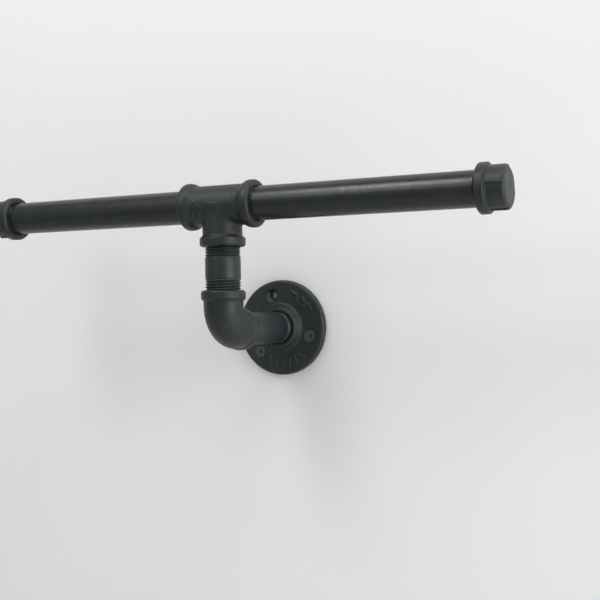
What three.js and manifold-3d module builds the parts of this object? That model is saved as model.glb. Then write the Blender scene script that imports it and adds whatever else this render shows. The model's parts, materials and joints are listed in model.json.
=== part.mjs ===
// Wall-mounted double toilet paper holder, made of threaded iron pipe and cast fittings.
// Millimetres, +Z up. The wall is the plane y = 0 and the holder stands out towards -Y.
// The origin is the centre of the flange's back face, and the bar lies along X.

import * as THREE from "three";
import { mergeVertices } from "three/addons/utils/BufferGeometryUtils.js";
import Module from "manifold-3d";

// ---- driving dimensions ----

// Where the axes run
const STANDOFF = 81; // wall to the bar's axis
const BAR_HEIGHT = 78; // flange axis to the bar's axis

// Pipe
const PIPE_RADIUS = 10.65;
const RISER_RADIUS = 11.2; // the riser nipple is a little thicker than the pipe
const PIPE_BORE_RADIUS = 7.9;
const THREAD_PITCH = 1.814; // 14 threads to the inch
const THREAD_DEPTH = 1.0;
const ENGAGED_RADIUS = 10.2; // male thread where it is screwed into a fitting
const ARM_LENGTH = 160;
const ARM_IN_TEE = { left: 11.8, right: 10.5 };
const RISER_LENGTH = 50.8;
const RISER_THREAD_SHOWN = 7.4; // at each end
const WALL_NIPPLE_LENGTH = 63.5;
const WALL_NIPPLE_IN_FLANGE = 8;
const WALL_NIPPLE_THREAD_SHOWN = 4.4; // at the flange
const ELBOW_THREAD_SHOWN = 7.6; // of the wall nipple, at the elbow

// Fittings
const SOCKET_RADIUS = 10.55; // 0.35 clear of the engaged thread
const SOCKET_DEPTH = 13;
const SOCKET_MOUTH_RADIUS = 11.7;
const WATERWAY_RADIUS = 8.8;
const BODY_RADIUS = 12.5;

const TEE_BODY_RADIUS = 12.8;
const TEE_RUN_REACH = 25.6; // tee centre to the end of the run
const TEE_BRANCH_REACH = 26;
const TEE_RUN_BEAD_RADIUS = 14.9;
const TEE_BRANCH_BAND_RADIUS = 14.4;

const ELBOW_REACH = 25;
const ELBOW_OUTLET_REACH = 23.6;
const ELBOW_BEND_RADIUS = 15.5;
const ELBOW_BAND_RADIUS = 14;
const ELBOW_OUTLET_BAND_RADIUS = 13.4;
const BAND_WIDTH = 5.4; // from a band's face to where it slopes down to the body

const CAP_LENGTH = 17.3;
const CAP_BAND_RADIUS = 14.6;
const CAP_BAND_WIDTH = 5.6;
const CAP_BODY_RADIUS = 12;
const CAP_PAD_RADIUS = 12.85;
const CAP_PAD_ANGLE = 88; // degrees round the cap
const CAP_BORE_DEPTH = 14;
const CAP_FACE = { left: 164.2, right: 166.8 }; // bar centre to each cap's open face

// Flange
const FLANGE_RADIUS = 32.6;
const FLANGE_THICKNESS = 5.2;
const FLANGE_HEIGHT = 10.4; // with its hub
const FLANGE_EDGE_ROUND = 1.4;
const HUB_BASE_RADIUS = 16;
const HUB_TOP_RADIUS = 13.6;
const SCREW_CIRCLE_RADIUS = 23.2;
const SCREW_ANGLES = { empty: 105.5, lower: 225.5, right: 345.5 }; // degrees from +X towards +Z
const SCREW_HOLE_RADIUS = 2.4;
const COUNTERSINK_RADIUS = 4.6;
const COUNTERSINK_DEPTH = 2.6;

// Screw
const SCREW_HEAD_RADIUS = 3.9;
const SCREW_HEAD_HEIGHT = 2.4;
const SCREW_SHANK_RADIUS = 1.9;
const SCREW_LENGTH = 25;
const SCREW_SUNK = 0.4; // head below the flange's face
const RECESS_LENGTH = 4;
const RECESS_WIDTH = 0.8;
const RECESS_DEPTH = 1.4;

const GAP = 0.3; // between pieces that touch
const SEGMENTS = 28; // round a pipe or fitting
const SMALL_SEGMENTS = 16; // round a screw or its hole

// ---- solids: joining and cutting ----

const wasm = await Module();
wasm.setup();

function solid(geometry) {
  const bare = geometry.clone();
  bare.deleteAttribute("normal");
  bare.deleteAttribute("uv");
  const merged = mergeVertices(bare, 1e-4);
  return new wasm.Manifold(
    new wasm.Mesh({
      numProp: 3,
      vertProperties: merged.attributes.position.array,
      triVerts: new Uint32Array(merged.index.array),
    }),
  );
}

function geometryOf(made) {
  const mesh = made.getMesh();
  const geometry = new THREE.BufferGeometry();
  geometry.setAttribute("position", new THREE.BufferAttribute(mesh.vertProperties, 3));
  geometry.setIndex(new THREE.BufferAttribute(mesh.triVerts, 1));
  geometry.computeVertexNormals();
  return geometry;
}

function join(geometries) {
  return geometries.map(solid).reduce((a, b) => a.add(b));
}

function cut(body, tools) {
  return geometryOf(tools.reduce((left, tool) => left.subtract(solid(tool)), body));
}

// ---- shapes ----

// A solid of revolution about +Z from [height, radius] points that start and end on the axis,
// or that close on themselves.
function turned(profile, segments = SEGMENTS) {
  const points = profile.map(([height, radius]) => new THREE.Vector2(radius, height));
  return new THREE.LatheGeometry(points, segments).rotateX(Math.PI / 2);
}

// Turns a +Z shape to point along +X, -X, +Y or -Y.
const towards = {
  right: (geometry) => geometry.rotateY(Math.PI / 2),
  left: (geometry) => geometry.rotateY(-Math.PI / 2),
  back: (geometry) => geometry.rotateX(-Math.PI / 2),
  front: (geometry) => geometry.rotateX(Math.PI / 2),
  up: (geometry) => geometry,
  down: (geometry) => geometry.rotateX(Math.PI),
};

// A band that ends a fitting's socket, with a bevelled face at the height of reach.
function band(reach, bodyRadius, bandRadius) {
  return turned([
    [reach - BAND_WIDTH - 2, 0],
    [reach - BAND_WIDTH - 1.6, bodyRadius],
    [reach - BAND_WIDTH, bandRadius],
    [reach - 1.4, bandRadius],
    [reach - 0.6, bandRadius - 0.5],
    [reach, bandRadius - 1.6],
    [reach, 0],
  ]);
}

// A rounded bead that ends a fitting's socket, with its face at the height of reach.
function bead(reach, bodyRadius, beadRadius) {
  return turned([
    [reach - 9.2, 0],
    [reach - 8.8, bodyRadius],
    [reach - 6.8, beadRadius - 0.9],
    [reach - 5.4, beadRadius - 0.2],
    [reach - 3.8, beadRadius],
    [reach - 1.8, beadRadius],
    [reach - 0.6, beadRadius - 0.6],
    [reach, beadRadius - 1.7],
    [reach, 0],
  ]);
}

// The threaded hole in a fitting, from its bottom to past its mouth at the height of reach.
function socket(reach) {
  return turned([
    [reach - SOCKET_DEPTH, 0],
    [reach - SOCKET_DEPTH, SOCKET_RADIUS],
    [reach - 1.2, SOCKET_RADIUS],
    [reach, SOCKET_MOUTH_RADIUS],
    [reach + 1, SOCKET_MOUTH_RADIUS],
    [reach + 1, 0],
  ]);
}

function rod(from, to, radius, segments = SEGMENTS) {
  return turned([[from, 0], [from, radius], [to, radius], [to, 0]], segments);
}

// The crests and roots of a stretch of showing thread, as outline points.
function threadOutline(from, to, crestRadius) {
  const turns = Math.floor((to - from) / THREAD_PITCH);
  const start = (from + to - turns * THREAD_PITCH) / 2;
  const points = [];
  for (let i = 0; i < turns; i++) {
    const root = start + (i + 0.5) * THREAD_PITCH;
    points.push([root - 0.4 * THREAD_PITCH, crestRadius]);
    points.push([root, crestRadius - THREAD_DEPTH]);
    points.push([root + 0.4 * THREAD_PITCH, crestRadius]);
  }
  return points;
}

// A hollow pipe from height 0 to length. Its ends are screwed in as far as low and high,
// and thread shows next to them for showLow and showHigh.
function pipe(length, low, high, showLow = 0, showHigh = 0, radius = PIPE_RADIUS) {
  const firstFree = low + GAP;
  const lastFree = length - high - GAP;
  return turned([
    [0, PIPE_BORE_RADIUS],
    [0, ENGAGED_RADIUS - 0.8],
    [0.8, ENGAGED_RADIUS],
    [firstFree, ENGAGED_RADIUS],
    ...threadOutline(firstFree, firstFree + showLow, radius),
    [firstFree + showLow, radius],
    [lastFree - showHigh, radius],
    ...threadOutline(lastFree - showHigh, lastFree, radius),
    [lastFree, ENGAGED_RADIUS],
    [length - 0.8, ENGAGED_RADIUS],
    [length, ENGAGED_RADIUS - 0.8],
    [length, PIPE_BORE_RADIUS],
    [0, PIPE_BORE_RADIUS],
  ]);
}

// The elbow's centre line: down from above, round the bend, and back towards the wall.
class BendLine extends THREE.Curve {
  constructor(upper, radius, outer) {
    super();
    this.radius = radius;
    this.down = upper - radius;
    this.back = outer - radius;
    this.arc = (Math.PI / 2) * radius;
    this.total = this.down + this.arc + this.back;
  }
  getPoint(t, target = new THREE.Vector3()) {
    const s = t * this.total;
    if (s < this.down) return target.set(0, 0, this.radius + this.down - s);
    if (s > this.down + this.arc) return target.set(0, s - this.down - this.arc + this.radius, 0);
    const angle = (s - this.down) / this.radius;
    return target.set(0, this.radius * (1 - Math.cos(angle)), this.radius * (1 - Math.sin(angle)));
  }
}

function bentRod(upper, outer, radius) {
  const section = new THREE.Shape().absarc(0, 0, radius, 0, 2 * Math.PI);
  return new THREE.ExtrudeGeometry(section, {
    extrudePath: new BendLine(upper, ELBOW_BEND_RADIUS, outer),
    steps: 14,
    curveSegments: SEGMENTS / 2,
  });
}

// A curved block between two radii, spread either side of the angle middle, along +Z.
function sector(inner, outer, middle, spread, from, to) {
  const half = THREE.MathUtils.degToRad(spread / 2);
  const centre = THREE.MathUtils.degToRad(middle);
  const outline = new THREE.Shape();
  outline.absarc(0, 0, outer, centre - half, centre + half);
  outline.absarc(0, 0, inner, centre + half, centre - half, true);
  const block = new THREE.ExtrudeGeometry(outline, {
    depth: to - from,
    bevelEnabled: false,
    curveSegments: 8,
  });
  return block.translate(0, 0, from);
}

// ---- sub-parts ----

function tee() {
  const body = join([
    towards.right(rod(1 - TEE_RUN_REACH, TEE_RUN_REACH - 1, TEE_BODY_RADIUS)),
    towards.down(rod(0, TEE_BRANCH_REACH - 1, BODY_RADIUS)),
    towards.right(bead(TEE_RUN_REACH, TEE_BODY_RADIUS, TEE_RUN_BEAD_RADIUS)),
    towards.left(bead(TEE_RUN_REACH, TEE_BODY_RADIUS, TEE_RUN_BEAD_RADIUS)),
    towards.down(band(TEE_BRANCH_REACH, BODY_RADIUS, TEE_BRANCH_BAND_RADIUS)),
  ]);
  return cut(body, [
    towards.right(rod(-TEE_RUN_REACH, TEE_RUN_REACH, WATERWAY_RADIUS)),
    towards.down(rod(0, TEE_BRANCH_REACH, WATERWAY_RADIUS)),
    towards.right(socket(TEE_RUN_REACH)),
    towards.left(socket(TEE_RUN_REACH)),
    towards.down(socket(TEE_BRANCH_REACH)),
  ]);
}

function elbow() {
  const body = join([
    bentRod(ELBOW_REACH - 1, ELBOW_OUTLET_REACH - 1, BODY_RADIUS),
    towards.up(band(ELBOW_REACH, BODY_RADIUS, ELBOW_BAND_RADIUS)),
    towards.back(band(ELBOW_OUTLET_REACH, BODY_RADIUS, ELBOW_OUTLET_BAND_RADIUS)),
  ]);
  return cut(body, [
    bentRod(ELBOW_REACH - 2, ELBOW_OUTLET_REACH - 2, WATERWAY_RADIUS),
    towards.up(socket(ELBOW_REACH)),
    towards.back(socket(ELBOW_OUTLET_REACH)),
  ]);
}

// A cap along +Z, with its open face at height 0 and two raised pads on opposite sides, the first
// at padAngle round from +X.
function cap(padAngle) {
  const shell = turned([
    [0, 0],
    [0, CAP_BAND_RADIUS - 1.3],
    [1, CAP_BAND_RADIUS],
    [CAP_BAND_WIDTH, CAP_BAND_RADIUS],
    [CAP_BAND_WIDTH + 1.2, CAP_BODY_RADIUS],
    [CAP_LENGTH - 1.8, CAP_BODY_RADIUS],
    [CAP_LENGTH - 0.9, CAP_BODY_RADIUS - 0.4],
    [CAP_LENGTH - 0.3, CAP_BODY_RADIUS - 1.3],
    [CAP_LENGTH, CAP_BODY_RADIUS - 3],
    [CAP_LENGTH, 0],
  ]);
  const padFrom = CAP_BAND_WIDTH - 1;
  const padTo = CAP_LENGTH - 1.2;
  const pads = [padAngle, padAngle + 180].map((middle) =>
    sector(CAP_BODY_RADIUS - 1.5, CAP_PAD_RADIUS, middle, CAP_PAD_ANGLE, padFrom, padTo),
  );
  const hollow = turned([
    [-1, 0],
    [-1, SOCKET_MOUTH_RADIUS],
    [0, SOCKET_MOUTH_RADIUS],
    [1.2, SOCKET_RADIUS],
    [CAP_BORE_DEPTH - 4, SOCKET_RADIUS],
    [CAP_BORE_DEPTH, SOCKET_RADIUS - 3.5],
    [CAP_BORE_DEPTH, 0],
  ]);
  return cut(join([shell, ...pads]), [hollow]);
}

// The flange along +Z, from its back face at height 0 to the hub's face.
function flange() {
  const casting = turned([
    [0, 0],
    [0, FLANGE_RADIUS - 0.6],
    [0.6, FLANGE_RADIUS],
    [FLANGE_THICKNESS - FLANGE_EDGE_ROUND, FLANGE_RADIUS],
    [FLANGE_THICKNESS - FLANGE_EDGE_ROUND * 0.3, FLANGE_RADIUS - FLANGE_EDGE_ROUND * 0.3],
    [FLANGE_THICKNESS, FLANGE_RADIUS - FLANGE_EDGE_ROUND],
    [FLANGE_THICKNESS, HUB_BASE_RADIUS + 0.6],
    [FLANGE_THICKNESS + 0.8, HUB_BASE_RADIUS - 0.4],
    [FLANGE_HEIGHT - 0.8, HUB_TOP_RADIUS + 0.4],
    [FLANGE_HEIGHT, HUB_TOP_RADIUS - 0.4],
    [FLANGE_HEIGHT, 0],
  ]);
  const bore = turned([
    [-1, 0],
    [-1, SOCKET_RADIUS],
    [FLANGE_HEIGHT - 1, SOCKET_RADIUS],
    [FLANGE_HEIGHT, SOCKET_MOUTH_RADIUS],
    [FLANGE_HEIGHT + 1, SOCKET_MOUTH_RADIUS],
    [FLANGE_HEIGHT + 1, 0],
  ]);
  const holes = Object.values(SCREW_ANGLES).map((angle) => {
    const spot = screwSpot(angle);
    return screwHole().translate(spot.x, spot.z, 0);
  });
  return cut(solid(casting), [bore, ...holes]);
}

function screwHole() {
  const seat = FLANGE_THICKNESS - COUNTERSINK_DEPTH;
  return turned(
    [
      [-1, 0],
      [-1, SCREW_HOLE_RADIUS],
      [seat, SCREW_HOLE_RADIUS],
      [FLANGE_THICKNESS, COUNTERSINK_RADIUS],
      [FLANGE_THICKNESS + 1, COUNTERSINK_RADIUS],
      [FLANGE_THICKNESS + 1, 0],
    ],
    SMALL_SEGMENTS,
  );
}

function screwSpot(angle) {
  const turn = THREE.MathUtils.degToRad(angle);
  return new THREE.Vector3(
    SCREW_CIRCLE_RADIUS * Math.cos(turn),
    SCREW_SUNK - FLANGE_THICKNESS,
    SCREW_CIRCLE_RADIUS * Math.sin(turn),
  );
}

// A countersunk cross-recess screw with its head's face at height 0 and its point below.
function screw() {
  const body = turned(
    [
      [-SCREW_LENGTH, 0],
      [6 - SCREW_LENGTH, SCREW_SHANK_RADIUS],
      [-SCREW_HEAD_HEIGHT, SCREW_SHANK_RADIUS],
      [-0.3, SCREW_HEAD_RADIUS],
      [0, SCREW_HEAD_RADIUS],
      [0, 0],
    ],
    SMALL_SEGMENTS,
  );
  const arm = (x, y) => new THREE.BoxGeometry(x, y, 2 * RECESS_DEPTH);
  return cut(solid(body), [arm(RECESS_LENGTH, RECESS_WIDTH), arm(RECESS_WIDTH, RECESS_LENGTH)]);
}

// ---- the scene graph ----

const holder = new THREE.Group();

function paint(color, roughness, metalness) {
  return new THREE.MeshStandardMaterial({ color, roughness, metalness });
}

function place(parent, name, geometry, material, position, rotation = [0, 0, 0]) {
  const mesh = new THREE.Mesh(geometry, material);
  mesh.name = name;
  mesh.position.set(...position);
  mesh.rotation.set(...rotation);
  parent.add(mesh);
  return mesh;
}

const UP = [0, 0, 0];
const TO_RIGHT = [0, Math.PI / 2, 0];
const TO_LEFT = [0, -Math.PI / 2, 0];
const TO_FRONT = [Math.PI / 2, 0, 0];

// At the wall: the flange, its two screws and the nipple in it
const wallEnd = new THREE.Group();
holder.add(wallEnd);
place(wallEnd, "wall_flange", flange(), paint(0x2b2e30, 0.55, 0.2), [0, 0, 0], TO_FRONT);
for (const side of ["lower", "right"]) {
  const spot = screwSpot(SCREW_ANGLES[side]);
  place(wallEnd, `flange_screw_${side}`, screw(), paint(0x333436, 0.45, 0.5), spot.toArray(), TO_FRONT);
}
const nippleVisible = STANDOFF - ELBOW_OUTLET_REACH - FLANGE_HEIGHT;
const inElbow = WALL_NIPPLE_LENGTH - nippleVisible - WALL_NIPPLE_IN_FLANGE;
place(
  wallEnd,
  "wall_nipple",
  pipe(
    WALL_NIPPLE_LENGTH,
    WALL_NIPPLE_IN_FLANGE,
    inElbow,
    WALL_NIPPLE_THREAD_SHOWN,
    ELBOW_THREAD_SHOWN,
  ),
  paint(0x2f3234, 0.5, 0.2),
  [0, WALL_NIPPLE_IN_FLANGE - FLANGE_HEIGHT, 0],
  TO_FRONT,
);

// The elbow and the riser that stands in it
const riser = new THREE.Group();
riser.position.set(0, -STANDOFF, 0);
holder.add(riser);
place(riser, "elbow", elbow(), paint(0x303436, 0.55, 0.2), [0, 0, 0]);
const riserVisible = BAR_HEIGHT - TEE_BRANCH_REACH - ELBOW_REACH;
const riserEngaged = (RISER_LENGTH - riserVisible) / 2;
place(
  riser,
  "riser_nipple",
  pipe(
    RISER_LENGTH,
    riserEngaged,
    riserEngaged,
    RISER_THREAD_SHOWN,
    RISER_THREAD_SHOWN,
    RISER_RADIUS,
  ),
  paint(0x323638, 0.5, 0.2),
  [0, 0, ELBOW_REACH - riserEngaged],
  UP,
);

// The bar: a tee with an arm and a cap on each side
const bar = new THREE.Group();
bar.position.set(0, -STANDOFF, BAR_HEIGHT);
holder.add(bar);
place(bar, "tee", tee(), paint(0x303335, 0.55, 0.2), [0, 0, 0]);
const sides = [
  { side: "left", sign: -1, turn: TO_LEFT, padAngle: 141 },
  { side: "right", sign: 1, turn: TO_RIGHT, padAngle: 39 },
];
for (const { side, sign, turn, padAngle } of sides) {
  const inTee = ARM_IN_TEE[side];
  const inCap = ARM_LENGTH - inTee - (CAP_FACE[side] - TEE_RUN_REACH);
  const armStart = [sign * (TEE_RUN_REACH - inTee), 0, 0];
  const armPaint = paint(0x2d3032, 0.4, 0.2);
  place(bar, `${side}_arm`, pipe(ARM_LENGTH, inTee, inCap), armPaint, armStart, turn);
  const capPaint = paint(0x303335, 0.55, 0.2);
  place(bar, `${side}_cap`, cap(padAngle), capPaint, [sign * CAP_FACE[side], 0, 0], turn);
}

export default holder;
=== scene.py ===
"""A wall-mounted double toilet paper holder made of threaded iron pipe and cast fittings.

Every piece is a fine mesh that stands for one CAD node and rides on the same body. The cast pieces
are built as distance fields, so that their limbs flow into each other, and are then skinned with
small quads. The pipes and their threads are grids wound round an axis.
Shapes are worked out in millimetres and become metres when a piece is made.
"""

import json
import math

import bpy
import numpy as np
from mathutils import Matrix, Vector


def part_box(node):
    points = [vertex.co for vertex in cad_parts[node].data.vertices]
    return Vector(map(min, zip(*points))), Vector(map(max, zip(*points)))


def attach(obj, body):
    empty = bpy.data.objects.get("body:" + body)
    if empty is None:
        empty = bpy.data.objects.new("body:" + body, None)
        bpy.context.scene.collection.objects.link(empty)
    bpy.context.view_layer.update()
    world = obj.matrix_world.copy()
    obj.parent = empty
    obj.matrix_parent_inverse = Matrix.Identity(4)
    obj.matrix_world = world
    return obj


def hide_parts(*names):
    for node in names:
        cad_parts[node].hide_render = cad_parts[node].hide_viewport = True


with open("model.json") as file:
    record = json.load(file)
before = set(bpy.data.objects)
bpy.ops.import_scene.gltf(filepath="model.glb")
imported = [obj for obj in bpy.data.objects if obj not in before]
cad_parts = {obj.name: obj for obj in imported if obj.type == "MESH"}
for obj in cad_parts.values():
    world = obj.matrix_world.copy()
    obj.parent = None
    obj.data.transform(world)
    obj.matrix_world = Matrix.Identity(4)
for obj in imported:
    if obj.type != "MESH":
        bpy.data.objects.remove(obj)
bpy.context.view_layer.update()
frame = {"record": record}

MM = 0.001

# ---- sizes, in millimetres ----

# Where the axes run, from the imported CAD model
arm_low, arm_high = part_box("right_arm")
STANDOFF = -(arm_low[1] + arm_high[1]) / 2 / MM  # wall to the bar's axis
BAR_HEIGHT = (arm_low[2] + arm_high[2]) / 2 / MM  # flange axis to the bar's axis

# Pipe
PIPE_RADIUS = 10.65
RISER_RADIUS = 11.2
PIPE_BORE_RADIUS = 7.9
PIPE_END_BEVEL = 0.8
THREAD_PITCH = 1.814
THREAD_DEPTH = 0.95
THREAD_GROOVE = 0.44  # half a groove's width, in pitches
THREAD_FADE = 0.7  # how fast a groove runs out, in pitches
THREAD_WOBBLE = 0.04  # how uneven a crest is
THREAD_INSIDE = 2.5  # how far into a fitting the thread is modelled
ENGAGED_RADIUS = 10.6  # male thread inside a fitting
RISER_THREAD_SHOWN = 7.4  # at each end
WALL_NIPPLE_THREAD_SHOWN = 4.4  # at the flange
ELBOW_THREAD_SHOWN = 7.6  # of the wall nipple, at the elbow
ARM_THREAD_SHOWN = 1.2  # at each end

# Fittings
SOCKET_RADIUS = 10.75
SOCKET_DEPTH = 13
SOCKET_MOUTH_RADIUS = 11.05
WATERWAY_RADIUS = 8.8
BODY_RADIUS = 12.5
BAND_WIDTH = 5.4  # from a band's face to where it slopes down to the body
BAND_SLOPE = 1.6  # length of that slope
RIM_EASE = 0.3  # how much a cut edge of a casting is rounded
TEE_BODY_RADIUS = 12.8
TEE_RUN_REACH = 25.6
TEE_RUN_BEAD_RADIUS = 14.9
TEE_BRANCH_REACH = 26
TEE_BRANCH_BAND_RADIUS = 14.4
TEE_FILLET = 1.6
# Small cast bumps on the front of the tee: place along the run, degrees below level, radius
TEE_BUMPS = [(-13.5, -8, 0.9), (-14.6, 30, 0.8), (-9.4, 30, 0.8), (-3.0, 24, 0.7)]
ELBOW_REACH = 25
ELBOW_BAND_RADIUS = 14
ELBOW_OUTLET_REACH = 23.6
ELBOW_OUTLET_BAND_RADIUS = 13.4
ELBOW_BEND_RADIUS = 15.5
CAP_LENGTH = 17.3
CAP_BAND_RADIUS = 14.6
CAP_BAND_WIDTH = 5.6
CAP_BAND_SLOPE = 1.2
CAP_BODY_RADIUS = 12
CAP_PAD_RADIUS = 12.85
CAP_PAD_ANGLE = 88  # degrees round the cap
CAP_PAD_MIDDLES = {"left": 141, "right": 39}  # where the first pad's middle is, in degrees
CAP_BORE_DEPTH = 14

# Flange
FLANGE_RADIUS = 32.6
FLANGE_THICKNESS = 5.2
FLANGE_HEIGHT = 10.4
FLANGE_EDGE_ROUND = 1.4
HUB_BASE_RADIUS = 16
HUB_TOP_RADIUS = 13.6
SCREW_CIRCLE_RADIUS = 23.2
SCREW_ANGLES = {"empty": 105.5, "lower": 225.5, "right": 345.5}  # from +X towards +Z
SCREW_HOLE_RADIUS = 2.4
COUNTERSINK_RADIUS = 4.6
COUNTERSINK_DEPTH = 2.6
# Raised marks on the face: angle, distance out, lean from pointing outwards, length
RAISED_MARKS = [
    (66, 25.5, 80, 3.2),
    (58, 24.0, 15, 4.6),
    (46, 25.8, 70, 3.0),
    (38, 24.2, -10, 5.0),
    (30, 26.0, 75, 2.6),
    (250, 24.6, 10, 4.8),
    (261, 24.6, 0, 5.0),
    (273, 24.8, 30, 4.8),
    (285, 24.6, -20, 5.0),
    (297, 24.8, 5, 4.8),
    (308, 24.6, 40, 4.4),
]
RAISED_MARK_WIDTH = 1.5
RAISED_MARK_HEIGHT = 0.5

# Screws
SCREW_HEAD_RADIUS = 3.9
SCREW_HEAD_HEIGHT = 2.4
SCREW_SHANK_RADIUS = 1.9
SCREW_LENGTH = 25
SCREW_SUNK = 0.4  # head below the flange's face
SCREW_CORE = 0.72  # the core's share of the shank's radius
SCREW_THREAD_PITCH = 1.7
SCREW_CROWN = 0.012  # how fast the head's face falls away from its middle
SCREW_TURNS = {"lower": 55, "right": 8}  # degrees each screw is turned
RECESS_LENGTH = 4
RECESS_WIDTH = 0.8
RECESS_DEPTH = 1.4
RECESS_TAPER = 0.25  # how much wider the recess is at its mouth

# How fine the skins are
CASTING_CELL = 0.36
FLANGE_CELL = 0.45
SCREW_CELL = 0.16
PIPE_COLUMNS = 128
THREAD_STEP = THREAD_PITCH / 12

# Cast surfaces are never quite even
CAST_WAVE = 0.02
CAST_WAVE_LENGTH = 7.0


# ---- fields: negative inside, positive outside, about a millimetre per millimetre ----

def smooth_union(a, b, blend):
    """The union of two fields, with a fillet of about blend where they meet."""
    mix = np.clip(0.5 + 0.5 * (b - a) / blend, 0, 1)
    return b + (a - b) * mix - blend * mix * (1 - mix)


def smooth_cut(body, hole, blend):
    """The body without the hole, with its edge eased by about blend."""
    return -smooth_union(-body, hole, blend)


def radius_table(points, softness=0.16):
    """A function from height to radius through the points, with its corners eased."""
    heights, radii = np.array(points, float).T
    step = 0.05
    fine = np.arange(heights[0] - 3, heights[-1] + 3, step)
    reach = max(1, int(round(3 * softness / step)))
    weights = np.exp(-0.5 * (np.arange(-reach, reach + 1) * step / softness) ** 2)
    padded = np.pad(np.interp(fine, heights, radii), reach, mode="edge")
    eased = np.convolve(padded, weights / weights.sum(), mode="valid")
    return lambda height: np.interp(height, fine, eased)


def turned(height, distance, radius_at, low, high, edge=0.25):
    """A solid of revolution between two heights, with eased rims."""
    side = (distance - radius_at(height)) * 0.92
    ends = np.maximum(low - height, height - high)
    return -smooth_union(-side, -ends, edge)


def band_profile(reach, body_radius, band_radius):
    """Heights and radii of a limb that ends at reach in a bevelled band."""
    return [
        (0, body_radius),
        (reach - BAND_WIDTH - BAND_SLOPE, body_radius),
        (reach - BAND_WIDTH, band_radius),
        (reach - 1.4, band_radius),
        (reach - 0.6, band_radius - 0.5),
        (reach, band_radius - 1.6),
    ]


def bead_profile(reach, body_radius, bead_radius):
    """Heights and radii of a limb that ends at reach in a rounded bead."""
    return [
        (0, body_radius),
        (reach - 8.8, body_radius),
        (reach - 6.8, bead_radius - 0.9),
        (reach - 5.4, bead_radius - 0.2),
        (reach - 3.8, bead_radius),
        (reach - 1.8, bead_radius),
        (reach - 0.6, bead_radius - 0.6),
        (reach, bead_radius - 1.7),
    ]


def socket_field(height, distance, reach):
    """The hole in the end of a limb, open at the height of reach."""
    profile = [
        (reach - SOCKET_DEPTH - 1, WATERWAY_RADIUS),
        (reach - SOCKET_DEPTH, SOCKET_RADIUS),
        (reach - 1.3, SOCKET_RADIUS),
        (reach, SOCKET_MOUTH_RADIUS),
        (reach + 2, SOCKET_MOUTH_RADIUS + 1.8),
    ]
    hole = distance - radius_table(profile, 0.15)(height)
    return np.maximum(hole, (reach - SOCKET_DEPTH - 1) - height)


def cast_wave(x, y, z):
    """The slight unevenness of a sand casting."""
    k = 2 * math.pi / CAST_WAVE_LENGTH
    first = np.sin(k * (x + 0.6 * y) + 0.4) * np.sin(k * (0.8 * z - 0.5 * x) + 1.3)
    second = np.sin(1.9 * k * (y + 0.4 * z) + 2.1) * np.sin(1.7 * k * (x - 0.3 * y) + 0.2)
    return CAST_WAVE * (first + 0.5 * second)


# ---- skins ----

def edge_crossings(values, axis):
    """Where the surface crosses the grid's edges along one axis: indices, points and direction."""
    first = [slice(None)] * 3
    second = [slice(None)] * 3
    first[axis] = slice(None, -1)
    second[axis] = slice(1, None)
    start, end = values[tuple(first)], values[tuple(second)]
    crossing = (start < 0) != (end < 0)
    index = np.argwhere(crossing)
    along = (start[crossing] / (start[crossing] - end[crossing]))[:, None]
    point = index + along * np.eye(3)[axis]
    return index, point, (start < 0)[crossing]


def surface_net(field, low, high, cell):
    """Vertices and quads of the field's zero surface inside a box, one vertex for each cell."""
    axes = [np.arange(a - 2 * cell, b + 3 * cell, cell) for a, b in zip(low, high)]
    values = field(*np.meshgrid(*axes, indexing="ij"))
    shape = np.array(values.shape) - 1
    crossings = [edge_crossings(values, axis) for axis in range(3)]

    # Each cell's vertex is the mean of the crossings on its edges.
    total = np.zeros((*shape, 3))
    count = np.zeros(shape)
    for axis, (index, point, _) in enumerate(crossings):
        others = [k for k in range(3) if k != axis]
        for du in (0, -1):
            for dv in (0, -1):
                where = index.copy()
                where[:, others[0]] += du
                where[:, others[1]] += dv
                fits = np.all((where >= 0) & (where < shape), axis=1)
                place = tuple(where[fits].T)
                np.add.at(total, place, point[fits])
                np.add.at(count, place, 1)
    used = count > 0
    origin = np.array([axis[0] for axis in axes])
    vertices = total[used] / count[used][:, None] * cell + origin

    # Each crossing is the middle of a quad of the four cells round its edge.
    number = np.full(shape, -1)
    number[used] = np.arange(used.sum())
    quads = []
    for axis, (index, _, starts_inside) in enumerate(crossings):
        u, v = (axis + 1) % 3, (axis + 2) % 3
        corners = []
        for du, dv in ((0, 0), (-1, 0), (-1, -1), (0, -1)):
            where = index.copy()
            where[:, u] += du
            where[:, v] += dv
            corners.append(number[tuple(where.T)])
        quad = np.stack(corners, axis=1)
        quads.append(np.where(starts_inside[:, None], quad, quad[:, ::-1]))
    return vertices, np.concatenate(quads)


def settle(field, vertices, cell, rounds):
    """Moves the vertices onto the field's zero surface."""
    nudge = 0.05 * cell
    for _ in range(rounds):
        value = field(*vertices.T)
        slope = np.empty_like(vertices)
        for axis in range(3):
            shift = np.zeros(3)
            shift[axis] = nudge
            ahead = field(*(vertices + shift).T)
            behind = field(*(vertices - shift).T)
            slope[:, axis] = (ahead - behind) / (2 * nudge)
        steep = np.maximum((slope**2).sum(axis=1), 0.2)
        step = -(value / steep)[:, None] * slope
        length = np.linalg.norm(step, axis=1)[:, None]
        step *= np.minimum(1, 0.4 * cell / np.maximum(length, 1e-9))
        vertices = vertices + step
    return vertices


def relax(vertices, quads):
    """Moves each vertex half way to the middle of its neighbours, which evens out the quads."""
    start = np.concatenate([quads[:, k] for k in range(4)])
    end = np.concatenate([quads[:, (k + 1) % 4] for k in range(4)])
    here, there = np.concatenate([start, end]), np.concatenate([end, start])
    count = np.bincount(here, minlength=len(vertices))[:, None]
    total = [np.bincount(here, vertices[there, axis], len(vertices)) for axis in range(3)]
    return 0.5 * vertices + 0.5 * np.stack(total, axis=1) / np.maximum(count, 1)


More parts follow.
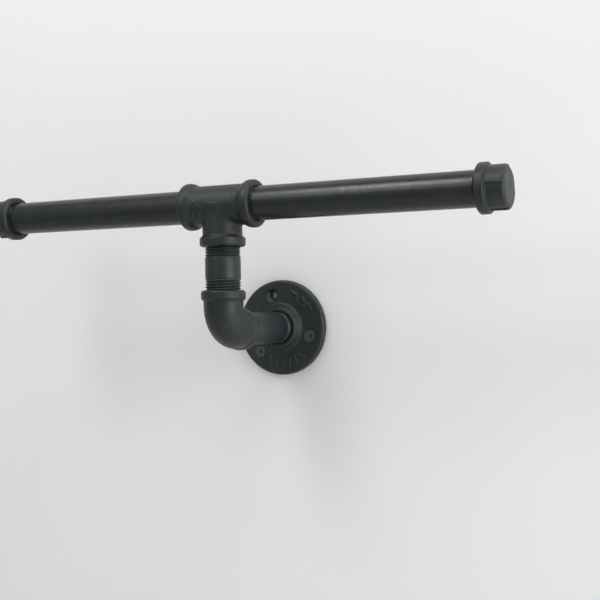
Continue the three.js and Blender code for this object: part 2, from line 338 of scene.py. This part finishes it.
def skin(field, low, high, cell=CASTING_CELL):
    """A mesh of the field's zero surface, made of small even quads."""
    vertices, quads = surface_net(field, low, high, cell)
    vertices = settle(field, vertices, cell, 3)
    for _ in range(4):
        vertices = settle(field, relax(vertices, quads), cell, 1)
    return settle(field, vertices, cell, 2), quads


def wound_grid(loop, radius_at, columns=PIPE_COLUMNS):
    """A closed pipe from a loop of heights: radius_at(row, turn) gives each vertex's radius."""
    turn = np.arange(columns) / columns
    rows = np.arange(len(loop))
    radii = radius_at(rows[:, None], turn[None, :])
    angle = 2 * math.pi * turn[None, :]
    heights = np.broadcast_to(np.array(loop, float)[:, None], radii.shape)
    vertices = np.stack([radii * np.cos(angle), radii * np.sin(angle), heights], axis=-1)
    here = rows[:, None] * columns + np.arange(columns)[None, :]
    right = rows[:, None] * columns + (np.arange(columns)[None, :] + 1) % columns
    above = np.roll(here, -1, axis=0)
    above_right = np.roll(right, -1, axis=0)
    quads = np.stack([here, right, above_right, above], axis=-1)
    return vertices.reshape(-1, 3), quads.reshape(-1, 4)


# ---- shapes of the cast pieces ----

def tee_field(x, y, z):
    """The tee about its own centre, with its run along X and its branch down."""
    from_run = np.hypot(y, z)
    from_branch = np.hypot(x, y)
    bead = bead_profile(TEE_RUN_REACH, TEE_BODY_RADIUS, TEE_RUN_BEAD_RADIUS)
    band = band_profile(TEE_BRANCH_REACH, BODY_RADIUS, TEE_BRANCH_BAND_RADIUS)
    run = turned(np.abs(x), from_run, radius_table(bead, 0.2), -1, TEE_RUN_REACH)
    branch = turned(-z, from_branch, radius_table(band), 0, TEE_BRANCH_REACH)
    body = smooth_union(run, branch, TEE_FILLET) + cast_wave(x, y, z)
    body = with_bumps(body, x, y, z)
    holes = (
        from_run - WATERWAY_RADIUS,
        np.maximum(from_branch - WATERWAY_RADIUS, z),
        socket_field(np.abs(x), from_run, TEE_RUN_REACH),
        socket_field(-z, from_branch, TEE_BRANCH_REACH),
    )
    for hole in holes:
        body = smooth_cut(body, hole, RIM_EASE)
    return body


def with_bumps(body, x, y, z):
    """The tee's body with its small cast bumps."""
    for along, below, radius in TEE_BUMPS:
        angle = math.radians(below)
        centre_y = -TEE_BODY_RADIUS * math.cos(angle)
        centre_z = -TEE_BODY_RADIUS * math.sin(angle)
        bump = np.sqrt((x - along) ** 2 + (y - centre_y) ** 2 + (z - centre_z) ** 2) - radius
        body = smooth_union(body, bump, 0.7)
    return body


def bend_limb(x, y, z, low_radius, back_radius, reach, outlet_reach):
    """A bent limb from straight up, round the bend, and back towards +Y."""
    centre = ELBOW_BEND_RADIUS
    overlap = 0.01
    join = 0.02
    upright = turned(z, np.hypot(x, y), low_radius, centre - overlap, reach)
    level = turned(y, np.hypot(x, z), back_radius, centre - overlap, outlet_reach)
    from_centre = np.hypot(y - centre, z - centre)
    arc = np.hypot(x, from_centre - ELBOW_BEND_RADIUS) - low_radius(0)
    arc = np.maximum(arc, np.maximum(y - centre, z - centre) - overlap)
    return smooth_union(smooth_union(upright, arc, join), level, join)


def elbow_field(x, y, z):
    """The elbow about the corner of its two axes."""
    up = radius_table(band_profile(ELBOW_REACH, BODY_RADIUS, ELBOW_BAND_RADIUS))
    outlet = band_profile(ELBOW_OUTLET_REACH, BODY_RADIUS, ELBOW_OUTLET_BAND_RADIUS)
    back = radius_table(outlet)
    body = bend_limb(x, y, z, up, back, ELBOW_REACH, ELBOW_OUTLET_REACH)
    body = body + cast_wave(x + 3, y, z)
    past_ends = ELBOW_REACH + 2
    hollow = radius_table([(0, WATERWAY_RADIUS), (past_ends + 3, WATERWAY_RADIUS)])
    holes = (
        bend_limb(x, y, z, hollow, hollow, past_ends, past_ends),
        socket_field(z, np.hypot(x, y), ELBOW_REACH),
        socket_field(y, np.hypot(x, z), ELBOW_OUTLET_REACH),
    )
    for hole in holes:
        body = smooth_cut(body, hole, RIM_EASE)
    return body


def cap_field(pad_angle):
    """A cap along +Z with its open face at height 0, and pads at pad_angle and opposite."""
    outside = radius_table([
        (0, CAP_BAND_RADIUS - 1.3),
        (1, CAP_BAND_RADIUS),
        (CAP_BAND_WIDTH, CAP_BAND_RADIUS),
        (CAP_BAND_WIDTH + CAP_BAND_SLOPE, CAP_BODY_RADIUS),
        (CAP_LENGTH - 1.8, CAP_BODY_RADIUS),
        (CAP_LENGTH - 0.9, CAP_BODY_RADIUS - 0.4),
        (CAP_LENGTH - 0.3, CAP_BODY_RADIUS - 1.3),
        (CAP_LENGTH, CAP_BODY_RADIUS - 3),
    ])
    inside = radius_table([
        (-1, SOCKET_MOUTH_RADIUS + 0.8),
        (0, SOCKET_MOUTH_RADIUS),
        (1.2, SOCKET_RADIUS),
        (CAP_BORE_DEPTH - 4, SOCKET_RADIUS),
        (CAP_BORE_DEPTH, SOCKET_RADIUS - 3.5),
    ], 0.2)
    middle = math.radians(pad_angle)
    half = math.radians(CAP_PAD_ANGLE / 2)

    def field(x, y, z):
        distance = np.hypot(x, y)
        round_from_pad = np.abs(np.angle(np.exp(2j * (np.arctan2(y, x) - middle)))) / 2
        beyond = (round_from_pad - half) * CAP_BODY_RADIUS
        shell = turned(z, distance, outside, 0, CAP_LENGTH)
        pad_radius = np.minimum(CAP_PAD_RADIUS, outside(z) + CAP_PAD_RADIUS - CAP_BODY_RADIUS)
        pad = np.maximum(distance - pad_radius, beyond)
        pad = np.maximum(pad, np.maximum(CAP_BAND_WIDTH - 1 - z, z - (CAP_LENGTH - 0.1)))
        pad = np.maximum(pad, CAP_BODY_RADIUS - 3 - distance)
        body = smooth_union(shell, pad, 0.15) + cast_wave(x, y + 4, z)
        hollow = np.maximum(distance - inside(z), z - CAP_BORE_DEPTH)
        return smooth_cut(body, hollow, RIM_EASE)

    return field


def raised_marks(x, y, z):
    """Short raised strokes on the flange's face, standing for cast-in marks."""
    nearest = None
    for angle, distance, lean, length in RAISED_MARKS:
        turn = math.radians(angle)
        right = x - distance * math.cos(turn)
        up = y - distance * math.sin(turn)
        turn += math.radians(lean)
        along = right * math.cos(turn) + up * math.sin(turn)
        across = up * math.cos(turn) - right * math.sin(turn)
        past = along - np.clip(along, -length / 2, length / 2)
        mark = np.hypot(past, across) - RAISED_MARK_WIDTH / 2
        nearest = mark if nearest is None else np.minimum(nearest, mark)
    top = z - FLANGE_THICKNESS - RAISED_MARK_HEIGHT
    return np.maximum(np.maximum(nearest, top), FLANGE_THICKNESS - 2 - z)


def flange_field(x, y, z):
    """The flange along +Z from its flat back, with +Y standing for the holder's up."""
    distance = np.hypot(x, y)
    edge = FLANGE_EDGE_ROUND
    plate_radius = radius_table([
        (0, FLANGE_RADIUS - 0.5),
        (0.6, FLANGE_RADIUS),
        (FLANGE_THICKNESS - edge, FLANGE_RADIUS),
        (FLANGE_THICKNESS - 0.35 * edge, FLANGE_RADIUS - 0.35 * edge),
        (FLANGE_THICKNESS, FLANGE_RADIUS - edge),
    ], 0.15)
    hub_radius = radius_table([
        (0, HUB_BASE_RADIUS + 0.4),
        (FLANGE_THICKNESS, HUB_BASE_RADIUS + 0.2),
        (FLANGE_HEIGHT - 0.9, HUB_TOP_RADIUS + 0.4),
        (FLANGE_HEIGHT, HUB_TOP_RADIUS - 0.3),
    ], 0.25)
    plate = turned(z, distance, plate_radius, -1, FLANGE_THICKNESS, 0.3)
    hub = turned(z, distance, hub_radius, -1, FLANGE_HEIGHT, 0.4)
    body = smooth_union(plate, hub, 1.6)
    body = smooth_union(body, raised_marks(x, y, z), 0.5) + cast_wave(x, y, z)
    body = np.maximum(body, -z)
    bore = radius_table([
        (-1, SOCKET_RADIUS),
        (FLANGE_HEIGHT - 1.2, SOCKET_RADIUS),
        (FLANGE_HEIGHT, SOCKET_MOUTH_RADIUS),
        (FLANGE_HEIGHT + 1, SOCKET_MOUTH_RADIUS + 1),
    ], 0.15)
    body = smooth_cut(body, distance - bore(z), RIM_EASE)
    return with_screw_holes(body, x, y, z)


def with_screw_holes(body, x, y, z):
    """The flange's body with its three countersunk holes."""
    seat = FLANGE_THICKNESS - COUNTERSINK_DEPTH
    hole_radius = radius_table([
        (-1, SCREW_HOLE_RADIUS),
        (seat, SCREW_HOLE_RADIUS),
        (FLANGE_THICKNESS, COUNTERSINK_RADIUS),
        (FLANGE_THICKNESS + 2, COUNTERSINK_RADIUS + 1.4),
    ], 0.15)
    for angle in SCREW_ANGLES.values():
        turn = math.radians(angle)
        centre_x = SCREW_CIRCLE_RADIUS * math.cos(turn)
        centre_y = SCREW_CIRCLE_RADIUS * math.sin(turn)
        hole = np.hypot(x - centre_x, y - centre_y) - hole_radius(z)
        body = smooth_cut(body, hole, 0.25)
    return body


def screw_field(x, y, z):
    """A countersunk screw with its face at height 0 and its point below."""
    distance = np.hypot(x, y)
    core = radius_table([
        (-SCREW_LENGTH, 0.1),
        (6 - SCREW_LENGTH, SCREW_SHANK_RADIUS * SCREW_CORE),
        (-SCREW_HEAD_HEIGHT - 0.4, SCREW_SHANK_RADIUS * SCREW_CORE),
        (-SCREW_HEAD_HEIGHT, SCREW_SHANK_RADIUS * 0.9),
        (-0.35, SCREW_HEAD_RADIUS),
        (0, SCREW_HEAD_RADIUS - 0.1),
    ], 0.1)
    phase = (z / SCREW_THREAD_PITCH - np.arctan2(y, x) / (2 * math.pi)) % 1
    ridge = np.clip(1 - np.abs(phase - 0.5) / 0.22, 0, 1)
    threaded = np.clip((-SCREW_HEAD_HEIGHT - 1.5 - z) / 1.5, 0, 1)
    threaded *= np.clip((z + SCREW_LENGTH) / 5, 0, 1)
    radius = core(z) + (1 - SCREW_CORE) * SCREW_SHANK_RADIUS * ridge * threaded
    body = (distance - radius) * 0.8
    crown = z + SCREW_CROWN * distance**2
    body = np.maximum(body, np.maximum(crown, -SCREW_LENGTH - z))
    return smooth_cut(body, cross_recess(x, y, z), 0.12)


def cross_recess(x, y, z):
    """The cross in a screw's head, which narrows towards its bottom."""
    opening = RECESS_TAPER * np.clip(z / RECESS_DEPTH + 1, 0, 1)
    half_width = RECESS_WIDTH / 2 * (1 + opening)
    half_length = RECESS_LENGTH / 2 * (1 - RECESS_TAPER + opening)
    one = np.maximum(np.abs(x) - half_length, np.abs(y) - half_width)
    other = np.maximum(np.abs(y) - half_length, np.abs(x) - half_width)
    return np.maximum(smooth_union(one, other, 0.3), -RECESS_DEPTH - z)


# ---- shapes of the pipes ----

def pipe_grid(length, low, high, show_low=0, show_high=0, free_radius=PIPE_RADIUS):
    """A pipe from height 0, screwed in as far as low and high, with helical thread next to them."""
    last = length - high
    bevel = PIPE_END_BEVEL
    low_thread = np.arange(low - THREAD_INSIDE, low + show_low + 2, THREAD_STEP)
    high_thread = np.arange(last - show_high - 2, last + THREAD_INSIDE, THREAD_STEP)
    outside = sorted({
        *np.round([0, bevel, low, last, length - bevel, length], 3),
        *np.round(low_thread, 3),
        *np.round(high_thread, 3),
        *np.round(np.arange(low, last, 2.0), 3),
    })
    loop = [*outside, length, length * 0.5, 0]
    heights = np.array(loop)

    def radius_at(row, turn):
        height = heights[row]
        phase = (height / THREAD_PITCH - turn) % 1
        groove = np.clip(1 - np.abs(phase - 0.5) / THREAD_GROOVE, 0, 1)
        fade = THREAD_FADE * THREAD_PITCH
        deep_low = np.clip((low + show_low - height) / fade, 0, 1)
        deep_high = np.clip((height - last + show_high) / fade, 0, 1)
        deep = np.maximum(deep_low, deep_high)
        worn = THREAD_WOBBLE * np.sin(9 * math.pi * turn + height) * deep
        inside = np.clip(np.maximum(low + 0.9 - height, height - last + 0.9) / 1.5, 0, 1)
        crest = free_radius + (ENGAGED_RADIUS - free_radius) * inside
        from_end = np.minimum(np.clip(height, 0, bevel), np.clip(length - height, 0, bevel))
        radius = crest - THREAD_DEPTH * deep * groove - worn - (bevel - from_end)
        return np.where(row >= len(outside), PIPE_BORE_RADIUS, radius)

    return wound_grid(loop, radius_at)


# ---- materials ----

# Features to the metre of the three noises in a coating, and the height of two of them in metres
MOTTLE_SCALE = 90
CLOUD_SCALE = 260
SPECK_SCALE = 1400
LUMP_HEIGHT = 0.00025
GRAIN_HEIGHT = 0.00013

# Each coating's darkest and lightest colour, colour on sharp edges (partly rubbed wear, partly a
# painted highlight), lowest and highest roughness, and how strongly its grain, lumps and lighter
# sharp edges (rubbed wear and painted highlight) show
COATINGS = {
    "flange_casting": {
        "dark": (0.0125, 0.0165, 0.018),
        "light": (0.0215, 0.027, 0.0285),
        "worn": (0.08, 0.085, 0.085),
        "roughness": (0.42, 0.58),
        "grain": 0.9,
        "lumps": 0.6,
        "edge_wear_and_highlight": 0.7,
    },
    "fitting_casting": {
        "dark": (0.008, 0.0115, 0.0125),
        "light": (0.018, 0.022, 0.0235),
        "worn": (0.10, 0.106, 0.106),
        "roughness": (0.38, 0.54),
        "grain": 0.9,
        "lumps": 0.6,
        "edge_wear_and_highlight": 0.8,
    },
    "nipple_pipe": {
        "dark": (0.011, 0.015, 0.0165),
        "light": (0.020, 0.0255, 0.027),
        "worn": (0.08, 0.083, 0.082),
        "roughness": (0.34, 0.48),
        "grain": 0.5,
        "lumps": 0.25,
        "edge_wear_and_highlight": 0.7,
    },
    "arm_pipe": {
        "dark": (0.007, 0.0095, 0.0105),
        "light": (0.014, 0.0175, 0.0185),
        "worn": (0.05, 0.052, 0.052),
        "roughness": (0.26, 0.36),
        "grain": 0.2,
        "lumps": 0.05,
        "edge_wear_and_highlight": 0.3,
    },
    "screw_steel": {
        "dark": (0.055, 0.057, 0.058),
        "light": (0.085, 0.087, 0.088),
        "worn": (0.16, 0.16, 0.16),
        "roughness": (0.32, 0.48),
        "grain": 0.4,
        "lumps": 0.2,
        "edge_wear_and_highlight": 0.9,
    },
}


def link(tree, start, output, end, socket):
    """Joins an output of one node to a socket of another."""
    tree.links.new(start.outputs[output], end.inputs[socket])


def noise(tree, scale, detail, roughness, where):
    """A noise texture in the object's own metres: scale is in features to the metre."""
    node = tree.nodes.new("ShaderNodeTexNoise")
    node.inputs["Scale"].default_value = scale
    node.inputs["Detail"].default_value = detail
    node.inputs["Roughness"].default_value = roughness
    link(tree, where, "Object", node, "Vector")
    return node


def ramp(tree, source, output, low, high, from_low=0.3, from_high=0.7):
    """Maps a value onto the span from low to high."""
    node = tree.nodes.new("ShaderNodeMapRange")
    node.inputs["From Min"].default_value = from_low
    node.inputs["From Max"].default_value = from_high
    node.inputs["To Min"].default_value = low
    node.inputs["To Max"].default_value = high
    link(tree, source, output, node, "Value")
    return node


def blend(tree, factor, factor_output, first, second):
    """Mixes two colours; each is a colour or a node to take one from."""
    node = tree.nodes.new("ShaderNodeMix")
    node.data_type = "RGBA"
    link(tree, factor, factor_output, node, "Factor")
    for socket, colour in ((6, first), (7, second)):
        if isinstance(colour, bpy.types.Node):
            tree.links.new(colour.outputs[2], node.inputs[socket])
        else:
            node.inputs[socket].default_value = (*colour, 1)
    return node


def rubbed_and_highlit_edges(tree, edge_wear_and_highlight, cloud):
    """Where sharp outer edges and thread crests are painted lighter, in patches: partly rubbed
    wear, partly a painted highlight.
    """
    geometry = tree.nodes.new("ShaderNodeNewGeometry")
    edges = ramp(tree, geometry, "Pointiness", 0, edge_wear_and_highlight, 0.525, 0.60)
    patchy = tree.nodes.new("ShaderNodeMath")
    patchy.operation = "MULTIPLY"
    link(tree, edges, "Result", patchy, 0)
    link(tree, ramp(tree, cloud, "Fac", 0.2, 1), "Result", patchy, 1)
    return patchy


def bump(tree, source, height, strength):
    """A bump from a noise, whose full height is in metres."""
    node = tree.nodes.new("ShaderNodeBump")
    node.inputs["Distance"].default_value = height
    node.inputs["Strength"].default_value = strength
    link(tree, source, "Fac", node, "Height")
    return node


def black_coating(name, dark, light, worn, roughness, grain, lumps, edge_wear_and_highlight):
    """Satin black coating: mottled colour, uneven gloss, fine grain, lumps, and sharp edges painted
    lighter, partly as rubbed wear and partly as a painted highlight.
    """
    material = bpy.data.materials.new(name)
    material.use_nodes = True
    tree = material.node_tree
    shader = tree.nodes["Principled BSDF"]
    where = tree.nodes.new("ShaderNodeTexCoord")
    mottle = noise(tree, MOTTLE_SCALE, 5, 0.6, where)
    speck = noise(tree, SPECK_SCALE, 3, 0.55, where)
    cloud = noise(tree, CLOUD_SCALE, 3, 0.5, where)

    base = blend(tree, ramp(tree, mottle, "Fac", 0, 1), "Result", dark, light)
    # The lighter colour on sharp edges and thread crests is partly rubbed wear and partly a painted
    # highlight.
    colour = blend(tree, rubbed_and_highlit_edges(tree, edge_wear_and_highlight, cloud), "Value", base, worn)
    tree.links.new(colour.outputs[2], shader.inputs["Base Color"])
    link(tree, ramp(tree, cloud, "Fac", *roughness), "Result", shader, "Roughness")
    shader.inputs["Specular IOR Level"].default_value = 0.5

    lumpy = bump(tree, cloud, LUMP_HEIGHT, lumps)
    grainy = bump(tree, speck, GRAIN_HEIGHT, grain)
    link(tree, lumpy, "Normal", grainy, "Normal")
    link(tree, grainy, "Normal", shader, "Normal")
    return material


# ---- pieces ----

body_of = {}
for body_name, nodes in frame["record"]["behaviour"]["bodies"].items():
    for node_name in nodes:
        body_of[node_name] = body_name
slot_of = {row["node"]: row["material_slot"] for row in frame["record"]["subparts"]}

TO_RIGHT = Matrix.Rotation(math.radians(90), 4, "Y")
TO_LEFT = Matrix.Rotation(math.radians(-90), 4, "Y")
TO_FRONT = Matrix.Rotation(math.radians(90), 4, "X")
UPRIGHT = Matrix.Identity(4)


def piece(node, shape, position=(0, 0, 0), turn=UPRIGHT):
    """Makes the visible piece that stands for a CAD node, from a shape in millimetres."""
    vertices, quads = shape
    placed = vertices @ np.array(turn.to_3x3()).T + np.array(position, float)
    mesh = bpy.data.meshes.new(f"{node}_skin")
    mesh.from_pydata((placed * MM).tolist(), [], quads.tolist())
    mesh.validate()
    mesh.shade_smooth()
    mesh.materials.append(materials[slot_of[node]])
    made = bpy.data.objects.new(f"{node}_skin", mesh)
    bpy.context.scene.collection.objects.link(made)
    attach(made, body_of[node])
    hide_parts(node)
    return made


def make_flange():
    """The flange and the two screws in it."""
    low, high = [-FLANGE_RADIUS, -FLANGE_RADIUS, 0], [FLANGE_RADIUS, FLANGE_RADIUS, FLANGE_HEIGHT]
    piece("wall_flange", skin(flange_field, low, high, FLANGE_CELL), turn=TO_FRONT)
    reach = SCREW_HEAD_RADIUS
    screw = skin(screw_field, [-reach, -reach, -SCREW_LENGTH], [reach, reach, 0], SCREW_CELL)
    for side, degrees in SCREW_TURNS.items():
        turn = math.radians(SCREW_ANGLES[side])
        spot = (
            SCREW_CIRCLE_RADIUS * math.cos(turn),
            SCREW_SUNK - FLANGE_THICKNESS,
            SCREW_CIRCLE_RADIUS * math.sin(turn),
        )
        twist = Matrix.Rotation(math.radians(degrees), 4, "Z")
        piece(f"flange_screw_{side}", screw, spot, TO_FRONT @ twist)


def make_wall_nipple():
    """The nipple between the flange and the elbow."""
    low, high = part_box("wall_nipple")
    length = (high[1] - low[1]) / MM
    shown = STANDOFF - ELBOW_OUTLET_REACH - FLANGE_HEIGHT
    in_flange = FLANGE_HEIGHT + high[1] / MM
    in_elbow = length - shown - in_flange
    nipple = pipe_grid(
        length, in_flange, in_elbow, WALL_NIPPLE_THREAD_SHOWN, ELBOW_THREAD_SHOWN
    )
    piece("wall_nipple", nipple, (0, high[1] / MM, 0), TO_FRONT)


def make_riser():
    """The elbow and the nipple that stands in it."""
    corner = (0, -STANDOFF, 0)
    reach = ELBOW_BAND_RADIUS
    low, high = [-reach, -reach, -reach], [reach, ELBOW_OUTLET_REACH, ELBOW_REACH]
    piece("elbow", skin(elbow_field, low, high), corner)
    bottom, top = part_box("riser_nipple")
    length = (top[2] - bottom[2]) / MM
    in_elbow = ELBOW_REACH - bottom[2] / MM
    in_tee = top[2] / MM - (BAR_HEIGHT - TEE_BRANCH_REACH)
    shown = RISER_THREAD_SHOWN
    nipple = pipe_grid(length, in_elbow, in_tee, shown, shown, RISER_RADIUS)
    piece("riser_nipple", nipple, (0, -STANDOFF, bottom[2] / MM))


def make_bar():
    """The tee, and an arm and a cap on each side of it."""
    centre = (0, -STANDOFF, BAR_HEIGHT)
    reach = TEE_RUN_BEAD_RADIUS
    low, high = [-TEE_RUN_REACH, -reach, -TEE_BRANCH_REACH], [TEE_RUN_REACH, reach, reach]
    piece("tee", skin(tee_field, low, high), centre)
    for side, sign, turn in (("left", -1, TO_LEFT), ("right", 1, TO_RIGHT)):
        low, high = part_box(f"{side}_arm")
        ends = sorted((abs(low[0]) / MM, abs(high[0]) / MM))
        face = min(abs(corner[0]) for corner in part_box(f"{side}_cap")) / MM
        in_tee = TEE_RUN_REACH - ends[0]
        in_cap = ends[1] - face
        shown = ARM_THREAD_SHOWN
        arm = pipe_grid(ends[1] - ends[0], in_tee, in_cap, shown, shown)
        piece(f"{side}_arm", arm, (sign * ends[0], *centre[1:]), turn)
        reach = CAP_BAND_RADIUS
        box = [-reach, -reach, 0], [reach, reach, CAP_LENGTH]
        cap = skin(cap_field(CAP_PAD_MIDDLES[side]), *box)
        piece(f"{side}_cap", cap, (sign * face, *centre[1:]), turn)


# ---- the room: a pale wall and floor, soft light and the camera ----

# Metres from here on
WALL_SIZE = 6.0
WALL_GAP = 0.0006  # from the flange's back to the backdrop
WALL_SHADE = 0.94
FLOOR_DROP = 0.62
FLOOR_SHADE = 0.6
PAINT_UNEVENNESS = 2.5  # features to the metre
ROOM_LIGHT_COLOUR = (0.96, 0.98, 1.0, 1)
ROOM_LIGHT_STRENGTH = 0.39

# Each light's place, what it faces, its width and height, and its power in watts
MIDDLE = (0, -0.05, 0.04)
LIGHTS = {
    "key_light": ((-0.34, -0.76, 1.0), MIDDLE, (0.36, 0.4), 3.1),
    "front_light": ((-0.34, -0.95, 0.85), MIDDLE, (0.4, 0.95), 3.2),
    "side_light": ((1.3, -0.4, 0.1), MIDDLE, (0.9, 1.2), 9.5),
    "ceiling_light": ((0.7, -0.5, 1.5), (0.4, -0.1, 0.0), (1.2, 0.5), 8),
}

CAMERA_PLACE = (0.34873, -0.66188, 0.0123)
CAMERA_AZIMUTH = 26.925  # degrees, like the elevation and the roll
CAMERA_ELEVATION = -0.492
CAMERA_ROLL = -0.83
CAMERA_LENS = 64.8  # millimetres, like the sensor's width
SENSOR_WIDTH = 36.0


def pale_paint(name, shade, one_sided=False):
    """Matt pale paint with a faint unevenness. One-sided paint is only there from the front."""
    material = bpy.data.materials.new(name)
    material.use_nodes = True
    tree = material.node_tree
    shader = tree.nodes["Principled BSDF"]
    where = tree.nodes.new("ShaderNodeTexCoord")
    cloud = noise(tree, PAINT_UNEVENNESS, 3, 0.5, where)
    dim = tuple(0.985 * shade for _ in range(3))
    colour = blend(tree, ramp(tree, cloud, "Fac", 0, 1), "Result", dim, (shade, shade, shade))
    tree.links.new(colour.outputs[2], shader.inputs["Base Color"])
    shader.inputs["Roughness"].default_value = 0.8
    shader.inputs["Specular IOR Level"].default_value = 0.2
    if one_sided:
        output = tree.nodes["Material Output"]
        geometry = tree.nodes.new("ShaderNodeNewGeometry")
        clear = tree.nodes.new("ShaderNodeBsdfTransparent")
        choose = tree.nodes.new("ShaderNodeMixShader")
        link(tree, geometry, "Backfacing", choose, "Fac")
        tree.links.new(shader.outputs["BSDF"], choose.inputs[1])
        tree.links.new(clear.outputs["BSDF"], choose.inputs[2])
        tree.links.new(choose.outputs["Shader"], output.inputs["Surface"])
    return material


def sheet(name, corners, material):
    """A flat four-cornered piece of the room."""
    mesh = bpy.data.meshes.new(name)
    mesh.from_pydata(corners, [], [(0, 1, 2, 3)])
    mesh.materials.append(material)
    made = bpy.data.objects.new(name, mesh)
    bpy.context.scene.collection.objects.link(made)
    return made


def make_room():
    """The wall behind the holder and the floor below it."""
    half = WALL_SIZE / 2
    sheet(
        "backdrop",
        [
            (-half, WALL_GAP, -FLOOR_DROP),
            (half, WALL_GAP, -FLOOR_DROP),
            (half, WALL_GAP, half),
            (-half, WALL_GAP, half),
        ],
        pale_paint("backdrop_paint", WALL_SHADE, one_sided=True),
    )
    sheet(
        "floor",
        [
            (-half, -half, -FLOOR_DROP),
            (half, -half, -FLOOR_DROP),
            (half, half, -FLOOR_DROP),
            (-half, half, -FLOOR_DROP),
        ],
        pale_paint("floor_paint", FLOOR_SHADE),
    )


def soft_light(name, place, target, size, power):
    """A rectangle of light of the given width and height that faces the target."""
    data = bpy.data.lights.new(name, "AREA")
    data.shape = "RECTANGLE"
    data.size, data.size_y = size
    data.energy = power
    made = bpy.data.objects.new(name, data)
    bpy.context.scene.collection.objects.link(made)
    direction = Vector(target) - Vector(place)
    made.rotation_mode = "QUATERNION"
    made.rotation_quaternion = direction.to_track_quat("-Z", "Y")
    made.location = place
    return made


def make_lights():
    """The soft lights, and the light that comes from all sides."""
    for name, (place, target, size, power) in LIGHTS.items():
        soft_light(name, place, target, size, power)
    world = bpy.data.worlds.new("room_light")
    bpy.context.scene.world = world
    world.use_nodes = True
    tree = world.node_tree
    background = tree.nodes["Background"]
    background.inputs["Color"].default_value = ROOM_LIGHT_COLOUR
    background.inputs["Strength"].default_value = ROOM_LIGHT_STRENGTH
    bpy.context.scene.view_settings.view_transform = "Standard"


def make_camera():
    """A level camera to the right of square on, like the one that saw the holder."""
    azimuth = math.radians(CAMERA_AZIMUTH)
    elevation = math.radians(CAMERA_ELEVATION)
    roll = math.radians(CAMERA_ROLL)
    level = math.cos(elevation)
    back = np.array([
        math.sin(azimuth) * level,
        -math.cos(azimuth) * level,
        math.sin(elevation),
    ])
    flat_right = np.array([math.cos(azimuth), math.sin(azimuth), 0])
    flat_up = np.cross(back, flat_right)
    right = math.cos(roll) * flat_right + math.sin(roll) * flat_up
    up = math.cos(roll) * flat_up - math.sin(roll) * flat_right
    data = bpy.data.cameras.new("photo_camera")
    data.lens = CAMERA_LENS
    data.sensor_width = SENSOR_WIDTH
    data.clip_start = 0.01
    data.clip_end = 50
    camera = bpy.data.objects.new("photo_camera", data)
    bpy.context.scene.collection.objects.link(camera)
    rows = [(*row, where) for row, where in zip(np.stack([right, up, back], axis=1), CAMERA_PLACE)]
    camera.matrix_world = Matrix([*rows, (0, 0, 0, 1)])
    bpy.context.scene.camera = camera


make_camera()
materials = {name: black_coating(name, **coating) for name, coating in COATINGS.items()}
make_flange()
make_wall_nipple()
make_riser()
make_bar()
make_room()
make_lights()
